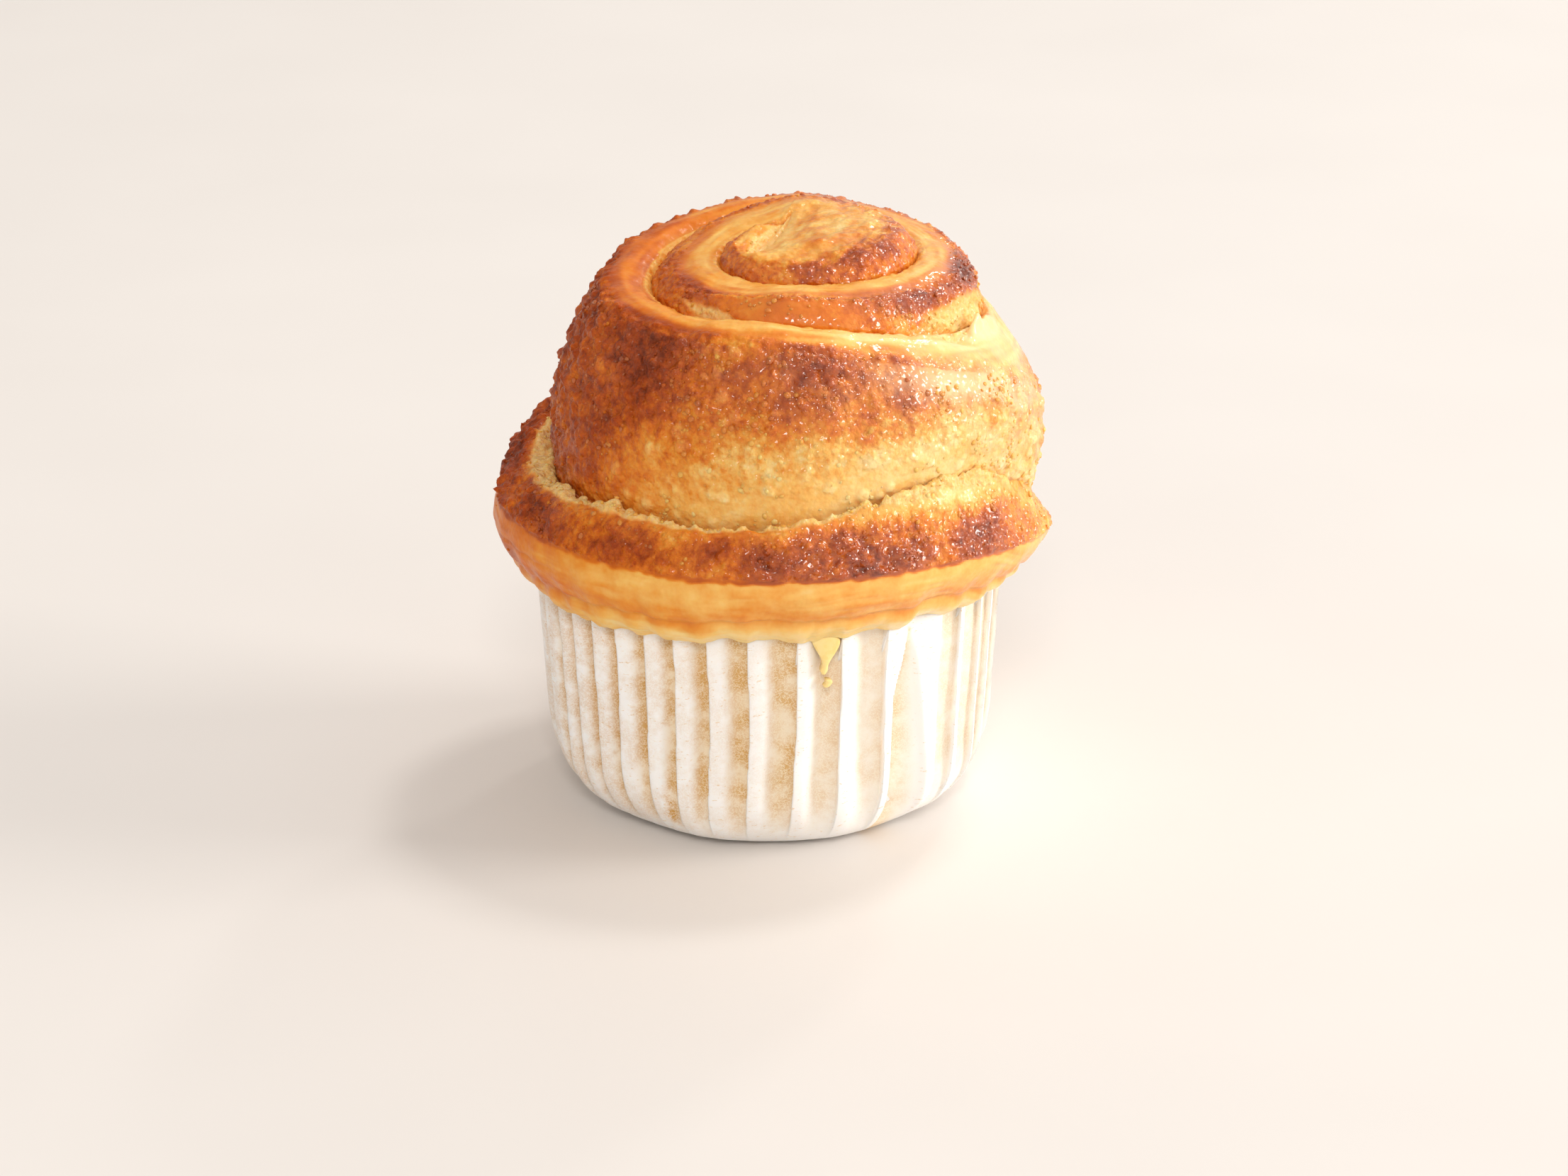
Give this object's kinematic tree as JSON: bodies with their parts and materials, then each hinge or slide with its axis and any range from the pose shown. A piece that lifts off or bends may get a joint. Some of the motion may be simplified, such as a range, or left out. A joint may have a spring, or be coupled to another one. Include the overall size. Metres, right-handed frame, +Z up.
{
  "type": "cruffin",
  "caption": "Spiral laminated pastry with a flared collar, baked in a pleated white paper case; rests on the case's flat underside.",
  "frame": {"origin": "centre of the paper case's flat underside", "axes": "+Z up through the pastry; -Y is the side the picture shows; the spiral winds outwards counter-clockwise seen from above"},
  "size_m": [0.0752, 0.0732, 0.0788],
  "materials": {
    "baked_crust": "browned, lightly glossy crust",
    "case_paper": "matt greaseproof paper"
  },
  "bodies": {
    "root": {"pastry": "baked_crust", "paper_case": "case_paper"}
  },
  "joints": []
}
